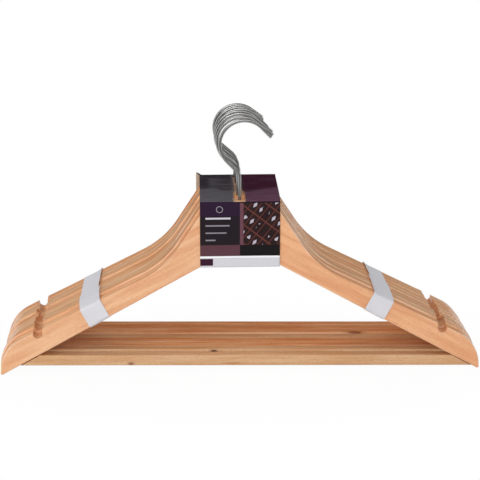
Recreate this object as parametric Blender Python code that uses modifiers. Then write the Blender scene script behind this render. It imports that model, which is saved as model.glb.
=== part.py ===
"""A tied bundle of flat wooden clothes hangers, in metres, standing on the tips of their arms.

+X runs to the right along the span, +Y to the back of the bundle and +Z up. The origin lies on the
ground under the middle of the bundle. Hanger 1 is the front one.
"""
import math

import bmesh
import bpy
from mathutils import Vector

# The bundle
clearance = 0.0003  # between two pieces that touch
hanger_count = 8
# How each hanger lies in the bundle, from the front one to the back one: to the right, and up
hanger_shift = (0.0003, -0.0007, 0.0006, -0.0002, 0.0007, -0.0005, 0.0001, -0.0006)
hanger_lift = (0.0, 0.0015, 0.0009, 0.0003, 0.0, 0.0004, 0.0002, 0.0)
hook_turn = (1.0, -1.5, 0.5, 1.5, -0.5, -1.0, 1.0, -0.5)  # degrees about the shank
# How much higher than the driving size each wire is bent
hook_rise = (0.0012, 0.0, 0.0013, 0.0016, 0.0012, 0.0, -0.0007, -0.0016)

# The arm boards, seen from the front
span = 0.445
board_thickness = 0.012
edge_easing = 0.0009  # the sanded round along the boards' edges, as one small chamfer
lower_edge_angle = math.radians(29.05)
upper_edge_angle = math.radians(26.57)
flare_angle = math.radians(56.8)  # the steep side of the neck
tip_radius = 0.0015
shoulder_radius = 0.0367
flare_radius = 0.090
notch_from_tip = 0.0354
notch_width = 0.0085
notch_depth = 0.0075
notch_lip_radius = 0.0006
arm_height_at_notch = 0.0241  # upright, from the lower edge to the upper one
neck_rise = 0.0411  # the neck's top above the point where the two lower edges would meet
neck_half_width = 0.0288
neck_corner_radius = 0.008
crotch_half_width = 0.014  # the level land under the neck, round the hook's rivet
crotch_radius = 0.025

# The comb joint between the two arms, in the middle of the neck
comb_bands = 5
comb_reach = 0.006
comb_taper = 0.0012  # how much narrower a finger is at its end

# The trouser bar and its dowels
bar_height = 0.0102
bar_middle_height = 0.0108
bar_slant = math.radians(0.85)  # its right end lies lower
bar_joint_gap = 0.0005  # the dark glue line at its ends
bar_edge_easing = 0.0010
dowel_diameter = 0.005
dowel_length = 0.024
dowel_sides = 8

# The hook: one steel wire, its shank riveted over a washer under the neck
wire_diameter = 0.003
rivet_diameter = 0.0052
rivet_thickness = 0.0014
washer_diameter = 0.007
washer_thickness = 0.0008
washer_sides = 12
counterbore_depth = 0.006
hook_off_centre = -0.0012  # the hook's hole is bored left of the neck's middle
shank_rise = 0.0226  # from the neck's top to the bend
bend_radius = 0.008
crook_radius = 0.0219
crook_clear_of_bend = 0.0052  # how far the crook's lowest point would lie above the bend
crook_aside = 0.0037  # from the shank's line to the crook's middle
tail_angle = math.radians(45)
tail_length = 0.0120
hole_sides = 12

# The card sleeve over the necks
card_thickness = 0.0006
card_width = 0.0726
card_off_centre = -0.0008
card_drop = 0.0641  # from its highest point to the lower edge of its front and back panels
card_fold = 0.0010  # the slant of its folds, over the eased edges of the boards
slot_width = 0.0110
slot_off_centre = -0.0006
slot_behind_wire = 0.0008  # from the last hook's wire to the slot's end

# The bands round the arms
band_width = 0.020
band_thickness = 0.0004
left_band_from_middle = 0.1342
right_band_from_middle = 0.1277

half_span = span / 2
pitch = board_thickness + clearance
bundle_depth = hanger_count * board_thickness + (hanger_count - 1) * clearance
wire_radius = wire_diameter / 2
# The lower edge is tangent to the tip's round, whose lowest point touches the ground
lower_edge_level = (
    math.sin(lower_edge_angle) * (half_span - tip_radius)
    + math.cos(lower_edge_angle) * tip_radius
    - tip_radius
)
lower_edge_apex = lower_edge_level / math.cos(lower_edge_angle)
notch_from_middle = half_span - notch_from_tip
lower_edge_at_notch = lower_edge_apex - math.tan(lower_edge_angle) * notch_from_middle
edge_height_at_notch = lower_edge_at_notch + arm_height_at_notch
notch_bottom_height = edge_height_at_notch - notch_depth
upper_edge_level = (
    math.sin(upper_edge_angle) * notch_from_middle
    + math.cos(upper_edge_angle) * edge_height_at_notch
)
neck_height = lower_edge_apex + neck_rise
flare_level = math.sin(flare_angle) * neck_half_width + math.cos(flare_angle) * neck_height
crotch_height = lower_edge_apex - math.tan(lower_edge_angle) * crotch_half_width
washer_top = crotch_height + counterbore_depth - clearance
rivet_top = washer_top - washer_thickness - clearance
bend_height = neck_height + shank_rise
crook_above_bend = crook_radius + crook_clear_of_bend


def clear_scene():
    for item in list(bpy.data.objects):
        bpy.data.objects.remove(item, do_unlink=True)


def collection(name):
    group = bpy.data.collections.new(name)
    bpy.context.scene.collection.children.link(group)
    return group


def material(name, colour, roughness, metallic=0.0):
    finish = bpy.data.materials.new(name)
    finish.use_nodes = True
    shader = finish.node_tree.nodes["Principled BSDF"]
    shader.inputs["Base Color"].default_value = (*colour, 1.0)
    shader.inputs["Roughness"].default_value = roughness
    shader.inputs["Metallic"].default_value = metallic
    return finish


def sloping_line(side, angle, level):
    """The line side * sin(angle) * x + cos(angle) * z = level, which falls away from the middle."""
    return side * math.sin(angle), math.cos(angle), level


def level_line(height):
    return 0.0, 1.0, height


def upright_line(x):
    return 1.0, 0.0, x


def bar_line(height):
    """A line along the trouser bar, at this height in the middle of the hanger."""
    return math.sin(bar_slant), math.cos(bar_slant), height * math.cos(bar_slant)


def meet(first, second):
    """The point (x, z) where two lines cross."""
    a, b, c = first
    d, e, f = second
    size = a * e - b * d
    return (c * e - b * f) / size, (a * f - c * d) / size


def rounded(corners):
    """A closed outline from corners (x, z, radius, steps), each of them rounded by an arc.

    Two arcs that need more than the straight between their corners are both drawn smaller.
    """
    places = [Vector(corner[:2]) for corner in corners]
    sides = [places[(n + 1) % len(places)] - place for n, place in enumerate(places)]
    halves = [sides[n].angle(-sides[n - 1]) / 2 for n in range(len(places))]
    reaches = [corner[2] / math.tan(half) for corner, half in zip(corners, halves)]
    needs = [reaches[n] + reaches[(n + 1) % len(reaches)] for n in range(len(reaches))]
    room = [min(1.0, side.length / need) if need else 1.0 for side, need in zip(sides, needs)]
    points = []
    for number, (_, _, radius, steps) in enumerate(corners):
        if radius == 0:
            points.append(places[number])
            continue
        share = min(room[number - 1], room[number])
        back = -sides[number - 1].normalized()
        on = sides[number].normalized()
        arm = radius * share / math.sin(halves[number])
        centre = places[number] + (back + on).normalized() * arm
        start = places[number] + back * (reaches[number] * share) - centre
        end = places[number] + on * (reaches[number] * share) - centre
        turn = start.angle(end)
        for step in range(steps + 1):
            from_start = turn * step / steps
            swung = start * math.sin(turn - from_start) + end * math.sin(from_start)
            points.append(centre + swung / math.sin(turn))
    kept = [point for n, point in enumerate(points) if (point - points[n - 1]).length > 1e-6]
    return kept


def flat_outline(name, points, thickness):
    """A mesh of a flat outline in the XZ plane, as thick on both sides of it."""
    curve = bpy.data.curves.new(name, "CURVE")
    curve.dimensions = "2D"
    curve.fill_mode = "BOTH"
    curve.extrude = thickness / 2
    spline = curve.splines.new("POLY")
    spline.points.add(len(points) - 1)
    for target, point in zip(spline.points, points):
        target.co = (point[0], point[1], 0.0, 1.0)
    spline.use_cyclic_u = True
    guide = bpy.data.objects.new(name, curve)
    bpy.context.scene.collection.objects.link(guide)
    guide.rotation_euler = (math.radians(90), 0, 0)
    return mesh_from_curve(guide, name)


def mesh_from_curve(guide, name):
    """The closed mesh of a curve object, in its parent's frame. The curve is removed."""
    bpy.context.view_layer.update()
    evaluated = guide.evaluated_get(bpy.context.evaluated_depsgraph_get())
    mesh = bpy.data.meshes.new_from_object(evaluated)
    mesh.name = name
    mesh.transform(guide.matrix_world)
    curve = guide.data
    bpy.data.objects.remove(guide, do_unlink=True)
    bpy.data.curves.remove(curve)
    form = bmesh.new()
    form.from_mesh(mesh)
    bmesh.ops.remove_doubles(form, verts=form.verts, dist=1e-5)
    bmesh.ops.recalc_face_normals(form, faces=form.faces)
    form.to_mesh(mesh)
    form.free()
    return mesh


def ease_edges(mesh, chosen, width):
    """A small chamfer along the edges that chosen(first point, second point) names."""
    form = bmesh.new()
    form.from_mesh(mesh)
    bmesh.ops.dissolve_limit(form, angle_limit=math.radians(1), verts=[], edges=form.edges)
    edges = [e for e in form.edges if chosen(e.verts[0].co, e.verts[1].co)]
    bmesh.ops.bevel(form, geom=edges, offset=width, segments=1, profile=0.5, affect="EDGES")
    form.to_mesh(mesh)
    form.free()


def hole_cutter(name, radius, start, end, sides):
    """A closed prism from start to end that holds a round of this radius inside it."""
    form = bmesh.new()
    outer = radius / math.cos(math.pi / sides)
    run = end - start
    bmesh.ops.create_cone(
        form, cap_ends=True, segments=sides, radius1=outer, radius2=outer, depth=run.length
    )
    mesh = bpy.data.meshes.new(name)
    form.to_mesh(mesh)
    form.free()
    cutter = bpy.data.objects.new(name, mesh)
    cutter.location = (start + end) / 2
    cutter.rotation_euler = run.to_track_quat("Z", "Y").to_euler()
    return keep_cutter(cutter)


def box_cutter(name, low, high):
    form = bmesh.new()
    bmesh.ops.create_cube(form, size=1.0)
    size = high - low
    bmesh.ops.scale(form, vec=size, verts=form.verts)
    bmesh.ops.translate(form, vec=(low + high) / 2, verts=form.verts)
    mesh = bpy.data.meshes.new(name)
    form.to_mesh(mesh)
    form.free()
    return keep_cutter(bpy.data.objects.new(name, mesh))


def keep_cutter(cutter):
    cutter.display_type = "WIRE"
    cutter.hide_render = True
    cutters.objects.link(cutter)
    return cutter


def cut(mesh, tools):
    """The mesh with each of the cutters taken out of it."""
    blank = bpy.data.objects.new(mesh.name, mesh)
    bpy.context.scene.collection.objects.link(blank)
    for tool in tools:
        step = blank.modifiers.new(tool.name, "BOOLEAN")
        step.object = tool
        step.operation = "DIFFERENCE"
        step.solver = "EXACT"
    bpy.context.view_layer.update()
    evaluated = blank.evaluated_get(bpy.context.evaluated_depsgraph_get())
    result = bpy.data.meshes.new_from_object(evaluated)
    result.name = mesh.name
    bpy.data.objects.remove(blank, do_unlink=True)
    return result


def comb_edge(starts_with_finger):
    """The arm's side of the comb joint, from the neck's top down, in its own outward x."""
    band = (neck_height - crotch_height) / comb_bands
    finger_end = -comb_reach + clearance / 2
    recess_end = comb_reach + clearance / 2

    def band_end(number):
        return finger_end if (number % 2 == 0) == starts_with_finger else recess_end

    points = [(band_end(comb_bands - 1), neck_height)]
    for number in reversed(range(1, comb_bands)):
        above, below = band_end(number), band_end(number - 1)
        # The finger draws back from the flank by half the clearance, and narrows to its end
        drawn_in = clearance / 2 if above == finger_end else -clearance / 2
        flank = crotch_height + number * band + drawn_in
        points.append((above, flank + comb_taper / 2))
        points.append((below, flank - comb_taper / 2))
    points.append((band_end(0), crotch_height))
    return points


def arm_outline(starts_with_finger):
    """An arm's outline with the arm pointing to +x: below the neck, the tip, and back on top."""
    lower = sloping_line(1, lower_edge_angle, lower_edge_level)
    upper = sloping_line(1, upper_edge_angle, upper_edge_level)
    flare = sloping_line(1, flare_angle, flare_level)
    end = upright_line(half_span)
    notch_inside = notch_from_middle - notch_width / 2
    notch_outside = notch_from_middle + notch_width / 2
    half_notch = notch_width / 2
    corners = [
        (*meet(level_line(crotch_height), lower), crotch_radius, 2),
        (*meet(lower, end), tip_radius, 2),
        (*meet(end, upper), shoulder_radius, 6),
        (*meet(upright_line(notch_outside), upper), notch_lip_radius, 1),
        (notch_outside, notch_bottom_height, half_notch, 3),
        (notch_inside, notch_bottom_height, half_notch, 3),
        (*meet(upright_line(notch_inside), upper), notch_lip_radius, 1),
        (*meet(upper, flare), flare_radius, 5),
        (*meet(flare, level_line(neck_height)), neck_corner_radius, 2),
    ]
    return rounded(corners + [(x, z, 0, 0) for x, z in comb_edge(starts_with_finger)])


def arm_mesh(side, name):
    points = arm_outline(starts_with_finger=side < 0)
    mesh = flat_outline(name, [(side * x, z) for x, z in points], board_thickness)
    comb_zone = comb_reach + 2 * clearance
    face = board_thickness / 2 - 1e-5

    def on_rim(a, b):
        on_face = abs(a.y) > face and abs(b.y) > face and a.y * b.y > 0
        return on_face and (side * a.x > comb_zone or side * b.x > comb_zone)

    ease_edges(mesh, on_rim, edge_easing)
    return cut(mesh, [shank_hole, counterbore, dowel_holes[side]])


def bar_ends():
    """The bar's four corners, where its lines meet the arms' lower edges at the joint gap."""
    reach = lower_edge_level - bar_joint_gap
    top = bar_line(bar_middle_height + bar_height / 2)
    bottom = bar_line(bar_middle_height - bar_height / 2)
    left = sloping_line(-1, lower_edge_angle, reach)
    right = sloping_line(1, lower_edge_angle, reach)
    return [meet(bottom, left), meet(bottom, right), meet(top, right), meet(top, left)]


def bar_mesh():
    mesh = flat_outline("trouser_bar", bar_ends(), board_thickness)
    face = board_thickness / 2 - 1e-5

    def long_edge(a, b):
        return abs(a.x - b.x) > bar_height * 4 and abs(a.y) > face and abs(b.y) > face

    ease_edges(mesh, long_edge, bar_edge_easing)
    return cut(mesh, [dowel_holes[-1], dowel_holes[1]])


def dowel_place(side):
    """The two ends of a dowel, along the bar and half in each piece that it joins."""
    lower = sloping_line(side, lower_edge_angle, lower_edge_level - bar_joint_gap / 2)
    x, z = meet(bar_line(bar_middle_height), lower)
    along = Vector((math.cos(bar_slant), 0, -math.sin(bar_slant)))
    middle = Vector((x, 0, z))
    return middle - along * (dowel_length / 2), middle + along * (dowel_length / 2)


def dowel_mesh(side):
    start, end = dowel_place(side)
    form = bmesh.new()
    bmesh.ops.create_cone(
        form,
        cap_ends=True,
        segments=dowel_sides,
        radius1=dowel_diameter / 2,
        radius2=dowel_diameter / 2,
        depth=dowel_length,
    )
    turn = (end - start).to_track_quat("Z", "Y").to_matrix()
    bmesh.ops.rotate(form, cent=(0, 0, 0), matrix=turn, verts=form.verts)
    bmesh.ops.translate(form, vec=(start + end) / 2, verts=form.verts)
    mesh = bpy.data.meshes.new("bar_dowel")
    form.to_mesh(mesh)
    form.free()
    return mesh


def washer_object(name):
    """A flat ring turned from a four-cornered profile, outer side first from top to bottom."""
    outer = washer_diameter / 2
    inner = (wire_radius + clearance) / math.cos(math.pi / washer_sides)
    top, bottom = washer_top, washer_top - washer_thickness
    profile = [(outer, 0, top), (outer, 0, bottom), (inner, 0, bottom), (inner, 0, top)]
    mesh = bpy.data.meshes.new(name)
    mesh.from_pydata(profile, [(0, 1), (1, 2), (2, 3), (3, 0)], [])
    ring = bpy.data.objects.new(name, mesh)
    turn = ring.modifiers.new("turned ring", "SCREW")
    turn.steps = washer_sides
    turn.render_steps = washer_sides
    turn.use_merge_vertices = True
    turn.merge_threshold = 0.00001
    return ring


def arc_points(centre, radius, start, end, steps):
    """Points (x, z) along an arc from one angle to another, both measured from +x."""
    angles = [start + (end - start) * n / steps for n in range(steps + 1)]
    return [(centre[0] + radius * math.cos(a), centre[1] + radius * math.sin(a)) for a in angles]


def hook_route(rise):
    """The hook's points (x, z, width factor) from the rivet to the tail's end, shank on x = 0."""
    corner_height = bend_height + rise
    crook_height = corner_height + crook_above_bend
    reach = math.hypot(crook_aside, crook_above_bend)
    lean = math.atan2(crook_above_bend, crook_aside) + math.asin(crook_radius / reach)
    # The shank's line and the leaning line are joined by an arc of the bend's radius
    cut_back = bend_radius * math.tan((lean - math.pi / 2) / 2)
    bend_centre = (-bend_radius, corner_height - cut_back)
    bend = arc_points(bend_centre, bend_radius, 0, lean - math.pi / 2, 4)
    crook_start = lean + math.pi / 2
    crook_end = math.pi / 2 - tail_angle
    crook = arc_points((crook_aside, crook_height), crook_radius, crook_start, crook_end, 14)
    tail_x = crook[-1][0] + tail_length * math.cos(tail_angle)
    tail_z = crook[-1][1] - tail_length * math.sin(tail_angle)
    tip = wire_radius * 0.5
    before_tip = (tail_x - tip * math.cos(tail_angle), tail_z + tip * math.sin(tail_angle))
    head = rivet_diameter / wire_diameter
    low = rivet_top - rivet_thickness
    route = [(0, low, head * 0.7), (0, low + rivet_thickness * 0.3, head)]
    route += [(0, rivet_top - rivet_thickness * 0.1, head), (0, rivet_top, 1.0)]
    route += [(x, z, 1.0) for x, z in bend + crook + [before_tip]]
    route.append((tail_x, tail_z, 0.6))
    return route


def hook_mesh(rise):
    curve = bpy.data.curves.new("hook", "CURVE")
    curve.dimensions = "3D"
    curve.bevel_depth = wire_radius
    curve.bevel_resolution = 2
    curve.use_fill_caps = True
    route = hook_route(rise)
    spline = curve.splines.new("POLY")
    spline.points.add(len(route) - 1)
    for target, (x, z, factor) in zip(spline.points, route):
        target.co = (x, 0.0, z, 1.0)
        target.radius = factor
    guide = bpy.data.objects.new("hook", curve)
    bpy.context.scene.collection.objects.link(guide)
    mesh = mesh_from_curve(guide, "hook")
    mesh.shade_smooth()
    mesh.set_sharp_from_angle(angle=math.radians(50))
    return mesh


def taut_line(points):
    """Those of the points (y, z), front to back, on which a sheet pulled tight over them rests."""
    kept = []
    for y, z in points:
        while len(kept) > 1:
            (first_y, first_z), (last_y, last_z) = kept[-2:]
            if (last_z - first_z) * (y - first_y) > (z - first_z) * (last_y - first_y):
                break
            kept.pop()
        kept.append((y, z))
    return kept


def sleeve_top(inside):
    """The underside of the sleeve's top, which is drawn tight over the necks."""
    rests = []
    for number in range(hanger_count):
        middle = (number - (hanger_count - 1) / 2) * pitch
        height = neck_height + hanger_lift[number % len(hanger_lift)] + clearance
        rests += [(middle - board_thickness / 2, height), (middle + board_thickness / 2, height)]
    rests[0] = (-inside, rests[0][1])
    rests[-1] = (inside, rests[-1][1])
    return taut_line(rests)


def sleeve_mesh():
    """The folded card, seen from its left end, pulled out along the span and slotted on top."""
    inside = bundle_depth / 2 + clearance
    outside = inside + card_thickness
    fold = card_fold
    line = sleeve_top(inside)
    front, back = line[0][1], line[-1][1]
    bottom = max(z for _, z in line) + card_thickness - card_drop
    top = [(y, z + card_thickness) for y, z in line[1:-1]]
    profile = [
        (-outside, bottom),
        (-inside, bottom),
        (-inside, front - fold),
        (-inside + fold, front),
        *line[1:-1],
        (inside - fold, back),
        (inside, back - fold),
        (inside, bottom),
        (outside, bottom),
        (outside, back + card_thickness - fold),
        (outside - fold, back + card_thickness),
        *reversed(top),
        (-outside + fold, front + card_thickness),
        (-outside, front + card_thickness - fold),
    ]
    mesh = flat_outline("card_sleeve", profile, card_width)
    # The outline was drawn in the XZ plane: turned so that its x runs along +Y
    turned = bpy.data.objects.new("card_sleeve", mesh)
    turned.rotation_euler = (0, 0, math.radians(90))
    turned.location = (card_off_centre, 0, 0)
    bpy.context.scene.collection.objects.link(turned)
    bpy.context.view_layer.update()
    mesh.transform(turned.matrix_world)
    bpy.data.objects.remove(turned, do_unlink=True)
    half_slot = slot_width / 2
    low = Vector((slot_off_centre - half_slot, -outside - fold, front - fold))
    slot_end = (hanger_count - 1) / 2 * pitch + wire_radius + slot_behind_wire
    high = Vector((slot_off_centre + half_slot, slot_end, bottom + card_drop + fold))
    return cut(mesh, [box_cutter("slot_cutter", low, high)])


def band_mesh(side, from_middle, name):
    """A flat loop round all the arms on one side: an outer prism with an inner one taken out."""
    middle_angle = (lower_edge_angle + upper_edge_angle) / 2
    spread = [
        side * shift * math.sin(middle_angle) + lift * math.cos(middle_angle)
        for shift, lift in zip(hanger_shift[:hanger_count], hanger_lift[:hanger_count])
    ]
    highest, lowest = max(spread), min(spread)
    along = (side * math.cos(middle_angle), -math.sin(middle_angle))
    upper_mid = (upper_edge_level - math.sin(upper_edge_angle) * from_middle) / math.cos(upper_edge_angle)
    lower_mid = (lower_edge_level - math.sin(lower_edge_angle) * from_middle) / math.cos(lower_edge_angle)
    station = along[0] * side * from_middle + along[1] * (upper_mid + lower_mid) / 2

    def prism(grow, ends, depth, piece):
        upper = sloping_line(side, upper_edge_angle, upper_edge_level + highest + grow)
        lower = sloping_line(side, lower_edge_angle, lower_edge_level + lowest - grow)
        near = (*along, station - ends)
        far = (*along, station + ends)
        points = [meet(lower, near), meet(lower, far), meet(upper, far), meet(upper, near)]
        return flat_outline(piece, points, depth)

    half = band_width / 2
    reach = clearance + band_thickness
    outer = prism(reach, half, bundle_depth + 2 * reach, name)
    inner = prism(clearance, half * 2, bundle_depth + 2 * clearance, name + "_cutter")
    return cut(outer, [keep_cutter(bpy.data.objects.new(name + "_cutter", inner))])


def place(name, mesh, finish, x=0.0, y=0.0, z=0.0, turn=0.0):
    piece = bpy.data.objects.new(name, mesh)
    if not mesh.materials:
        mesh.materials.append(finish)
    piece.location = (x, y, z)
    piece.rotation_euler = (0, 0, turn)
    bundle.objects.link(piece)


clear_scene()
bundle = collection("hanger bundle")
cutters = collection("cutters")
softwood = material("softwood", (0.80, 0.50, 0.29), 0.55)
bar_wood = material("bar wood", (0.68, 0.39, 0.20), 0.55)
dowel_wood = material("dowel wood", (0.74, 0.52, 0.33), 0.6)
chromed_wire = material("chromed wire", (0.62, 0.62, 0.63), 0.2, 1.0)
zinc_steel = material("zinc steel", (0.55, 0.56, 0.57), 0.35, 1.0)
printed_card = material("printed card", (0.035, 0.025, 0.035), 0.4)
white_band = material("white band", (0.88, 0.88, 0.88), 0.5)

shank_hole = hole_cutter(
    "shank_hole_cutter",
    wire_radius + clearance,
    Vector((hook_off_centre, 0, crotch_height - counterbore_depth)),
    Vector((hook_off_centre, 0, neck_height + counterbore_depth)),
    hole_sides,
)
counterbore = hole_cutter(
    "counterbore_cutter",
    washer_diameter / 2 + clearance,
    Vector((hook_off_centre, 0, crotch_height - counterbore_depth)),
    Vector((hook_off_centre, 0, crotch_height + counterbore_depth)),
    hole_sides,
)
dowel_holes = {}
for side in (-1, 1):
    start, end = dowel_place(side)
    margin = (end - start).normalized() * clearance
    dowel_holes[side] = hole_cutter(
        "left_dowel_cutter" if side < 0 else "right_dowel_cutter",
        dowel_diameter / 2 + clearance,
        start - margin,
        end + margin,
        dowel_sides,
    )

left_arm = arm_mesh(-1, "left_arm")
right_arm = arm_mesh(1, "right_arm")
bar = bar_mesh()
left_dowel = dowel_mesh(-1)
right_dowel = dowel_mesh(1)

for number in range(hanger_count):
    tag = f"_{number + 1}"
    x = hanger_shift[number % len(hanger_shift)]
    y = (number - (hanger_count - 1) / 2) * pitch
    z = hanger_lift[number % len(hanger_lift)]
    place("left_arm" + tag, left_arm, softwood, x, y, z)
    place("right_arm" + tag, right_arm, softwood, x, y, z)
    place("trouser_bar" + tag, bar, bar_wood, x, y, z)
    place("left_bar_dowel" + tag, left_dowel, dowel_wood, x, y, z)
    place("right_bar_dowel" + tag, right_dowel, dowel_wood, x, y, z)
    turn = math.radians(hook_turn[number % len(hook_turn)])
    hook = hook_mesh(hook_rise[number % len(hook_rise)])
    place("hook" + tag, hook, chromed_wire, x + hook_off_centre, y, z, turn)
    washer = washer_object("hook_washer" + tag)
    washer.data.materials.append(zinc_steel)
    washer.location = (x + hook_off_centre, y, z)
    bundle.objects.link(washer)

place("card_sleeve", sleeve_mesh(), printed_card)
place("left_band", band_mesh(-1, left_band_from_middle, "left_band"), white_band)
place("right_band", band_mesh(1, right_band_from_middle, "right_band"), white_band)
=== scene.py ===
import math

import bmesh
import bpy
import numpy as np
from mathutils import Matrix, Vector


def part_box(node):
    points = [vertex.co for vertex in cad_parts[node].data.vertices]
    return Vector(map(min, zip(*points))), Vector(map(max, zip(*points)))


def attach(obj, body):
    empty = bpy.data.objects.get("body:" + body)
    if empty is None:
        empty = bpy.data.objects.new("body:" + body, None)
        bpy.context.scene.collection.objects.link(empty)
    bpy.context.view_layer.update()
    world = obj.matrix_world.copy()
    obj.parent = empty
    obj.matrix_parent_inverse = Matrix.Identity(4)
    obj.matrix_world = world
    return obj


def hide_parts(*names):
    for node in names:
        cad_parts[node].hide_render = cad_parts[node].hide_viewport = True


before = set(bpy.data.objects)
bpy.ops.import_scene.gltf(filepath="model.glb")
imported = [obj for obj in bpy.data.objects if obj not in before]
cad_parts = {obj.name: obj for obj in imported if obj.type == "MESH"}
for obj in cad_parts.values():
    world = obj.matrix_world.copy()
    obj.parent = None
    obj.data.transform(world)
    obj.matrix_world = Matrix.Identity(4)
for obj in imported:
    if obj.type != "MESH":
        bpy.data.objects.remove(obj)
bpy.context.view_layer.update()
print("frame loaded,", len(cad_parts), "solids")

# Shapes are worked out in millimetres and become metres where they turn into a mesh
mm = 0.001
hangerCount = sum(name.startswith("trouser_bar_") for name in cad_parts)
seedFor = {"grain": 11, "fray": 23}


def linear(hexColour):
    # sRGB hex to linear red, green, blue and a full alpha
    parts = [int(hexColour[n:n + 2], 16) / 255 for n in (1, 3, 5)]
    return [c / 12.92 if c <= 0.04045 else ((c + 0.055) / 1.055) ** 2.4 for c in parts] + [1.0]


def addNode(tree, kind, inputs=(), output=0, **settings):
    # One node with its settings, and its inputs by name or in their order, as plain values or as other
    # nodes' outputs. What comes back is the output asked for, or all of them
    node = tree.nodes.new("ShaderNode" + kind)
    for name, value in settings.items():
        setattr(node, name, value)
    for socket, value in inputs.items() if isinstance(inputs, dict) else enumerate(inputs):
        if isinstance(value, bpy.types.NodeSocket):
            tree.links.new(value, node.inputs[socket])
        else:
            node.inputs[socket].default_value = value
    return node.outputs if output is None else node.outputs[output]


def newMaterial(name, roughness, metallic=0.0, gloss=0.5):
    surface = bpy.data.materials.new(name)
    surface.use_nodes = True
    inputs = surface.node_tree.nodes["Principled BSDF"].inputs
    for socket, value in (("Roughness", roughness), ("Metallic", metallic), ("Specular IOR Level", gloss)):
        inputs[socket].default_value = value
    return surface, surface.node_tree


def laidOver(tree, colour, layers):
    # the colour with each layer's own colour laid over it in turn, by that layer's share
    for share, over in layers:
        colour = addNode(tree, "Mix", {0: share, 6: colour, 7: linear(over)}, 2, data_type="RGBA")
    return colour


def dressSurface(tree, colour, relief=None):
    # a material's colour, and its relief, if it has one, as strength, depth in mm and height
    inputs = tree.nodes["Principled BSDF"].inputs
    tree.links.new(colour, inputs["Base Color"])
    if relief:
        strength, depth, height = relief
        bump = {"Strength": strength, "Distance": depth * mm, "Height": height}
        tree.links.new(addNode(tree, "Bump", bump), inputs["Normal"])


def makeClouded(name, look):
    # a material whose two colours run into each other in patches of a real size, in mm, with a fine
    # relief if it has one: size, detail, strength and depth
    surface, tree = newMaterial(name, look["roughness"], look.get("metallic", 0.0))
    if "attribute" in look:
        place = addNode(tree, "Attribute", output="Vector", attribute_name=look["attribute"])
    else:
        place = addNode(tree, "TexCoord", output="Object")
    scale = [1 / (size * mm) for size in look["patch"]]
    spread = addNode(tree, "Mapping", {"Vector": place, "Scale": scale})
    patches = addNode(tree, "TexNoise", {"Vector": spread, "Scale": 1.0, "Detail": look["detail"]})
    relief = None
    if "relief" in look:
        size, detail, strength, depth = look["relief"]
        fine = addNode(tree, "TexNoise", {"Vector": place, "Scale": 1 / (size * mm), "Detail": detail})
        relief = (strength, depth, fine)
    dressSurface(tree, laidOver(tree, linear(look["dark"]), [(patches, look["light"])]), relief)
    return surface


def smoothStep(low, high, value):
    # 0 below low, 1 above high, and share * share * (3 - 2 * share) between
    share = np.clip((value - low) / (high - low), 0, 1)
    return share * share * (3 - 2 * share)


def gridFaces(rows, columns, closedRows=False, closedColumns=False):
    # the four-cornered faces between neighbours of a grid of points, numbered row by row
    r = np.arange(rows if closedRows else rows - 1)[:, None]
    c = np.arange(columns if closedColumns else columns - 1)[None, :]
    nextR, nextC = (r + 1) % rows, (c + 1) % columns
    corners = (r * columns + c, r * columns + nextC, nextR * columns + nextC, nextR * columns + c)
    return np.stack(corners, -1).reshape(-1, 4)


def newMesh(name, points, faces, caps=()):
    # points in millimetres, faces as rows of four, caps as lists of any length
    mesh = bpy.data.meshes.new(name)
    mesh.from_pydata((points.reshape(-1, 3) * mm).tolist(), [], faces.tolist() + [list(cap) for cap in caps])
    return mesh


def tubeMesh(name, rings):
    # rings of points carried along a line, capped at both ends
    rows, columns = rings.shape[:2]
    ring = np.arange(columns)
    caps = (ring[::-1], ring + (rows - 1) * columns)
    return newMesh(name, rings, gridFaces(rows, columns, closedColumns=True), caps)


def meshPoints(mesh):
    # the mesh's points as rows of x, y, z in millimetres
    flat = np.empty(len(mesh.vertices) * 3)
    mesh.vertices.foreach_get("co", flat)
    return flat.reshape(-1, 3) / mm


def setPoints(mesh, points):
    mesh.vertices.foreach_set("co", (points * mm).ravel())
    mesh.update()


def setAttribute(mesh, name, values):
    # a number or a row of three for each point
    kind, field = ("FLOAT_VECTOR", "vector") if values.ndim == 2 else ("FLOAT", "value")
    mesh.attributes.new(name, kind, "POINT").data.foreach_set(field, values.astype(np.float32).ravel())


def lengthAlong(line):
    # how far along the line each of its points lies
    return np.concatenate(((0.0,), np.cumsum(np.linalg.norm(np.diff(line, axis=0), axis=1))))


def addObject(name, data):
    item = bpy.data.objects.new(name, data)
    bpy.context.scene.collection.objects.link(item)
    return item


def addPiece(name, mesh, sharpDegrees, finishes, body, slotName, *replaced):
    # a mesh, smooth where it bends less than the sharp angle, as a piece that rides on a body and
    # stands for its solids
    mesh.shade_smooth()
    mesh.set_sharp_from_angle(angle=math.radians(sharpDegrees))
    for finish in finishes:
        mesh.materials.append(finish)
    piece = addObject(name, mesh)
    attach(piece, body)
    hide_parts(*replaced)
    return piece


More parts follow.
